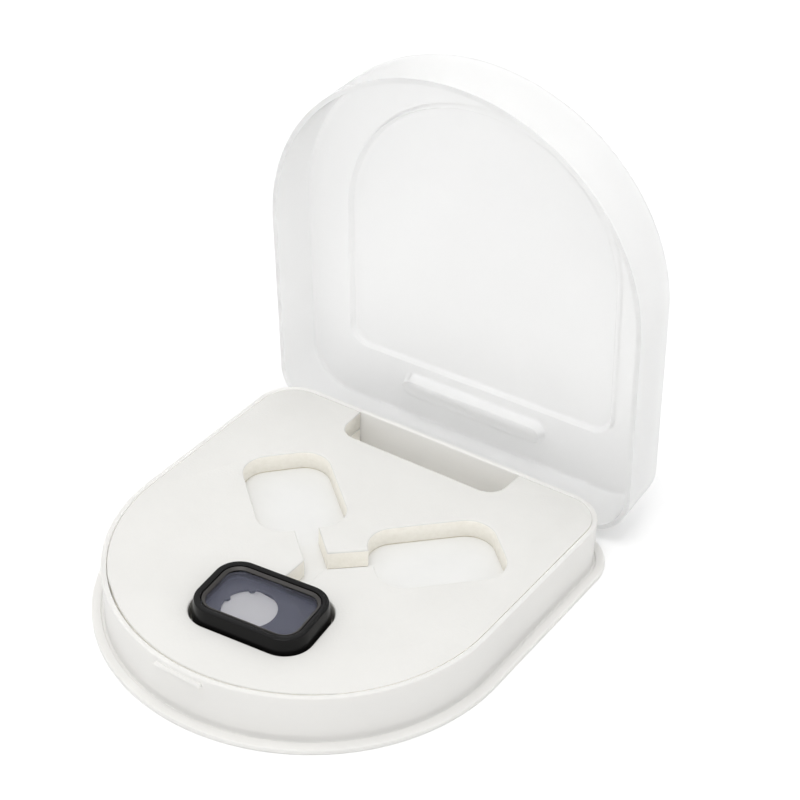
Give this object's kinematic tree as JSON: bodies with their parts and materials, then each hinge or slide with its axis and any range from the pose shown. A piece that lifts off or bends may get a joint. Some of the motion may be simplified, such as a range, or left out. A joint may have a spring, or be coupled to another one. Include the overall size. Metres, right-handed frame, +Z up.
{
  "type": "clip-on lens in hinged case",
  "caption": "Rounded-rectangular clip-on conversion lens lying in a foam-lined, D-shaped clear plastic case with a hinged lid.",
  "frame": {"origin": "on the case's underside, below the centre of the tray's round front", "axes": "+X along the hinge line, -Y towards the round front, +Z up from the table"},
  "size_m": [0.1016, 0.1228, 0.1099],
  "materials": {
    "case_plastic": "frosted translucent polypropylene",
    "foam": "closed-cell polyethylene foam",
    "tape_film": "smooth white film",
    "frame_black": "satin",
    "trim_grey": "fine matt",
    "coated_glass": "polished, anti-reflection coated",
    "black_rubber": "matt",
    "inner_black": "fine matt",
    "turned_aluminium": "fine turned",
    "spring_steel": "bright rolled"
  },
  "bodies": {
    "case": {"case_base": "case_plastic", "living_hinge": "case_plastic", "foam_top": "foam", "foam_bottom": "foam", "foam_tape": "tape_film", "base_tape": "tape_film"},
    "lid": {"case_lid": "case_plastic"},
    "lens": {"lens_frame": "frame_black", "trim_ring": "trim_grey", "front_element": "coated_glass", "front_gasket": "black_rubber", "spacer_frame": "inner_black", "light_baffle": "inner_black", "lens_cell": "turned_aluminium", "rear_element": "coated_glass", "rear_seal": "black_rubber", "retaining_ring": "turned_aluminium", "clip_left": "spring_steel", "clip_right": "spring_steel", "grip_pads": "black_rubber"}
  },
  "joints": [
    {"name": "lid_hinge", "type": "hinge", "parent": "case", "child": "lid", "pos_m": [0, 0.0578, 0.00135], "axis": [-1, 0, 0], "range_deg": [-85, 11.5]},
    {"name": "lens_lift", "type": "slide", "parent": "case", "child": "lens", "axis": [0, 0, 1], "range_m": [0, 0.02]}
  ]
}
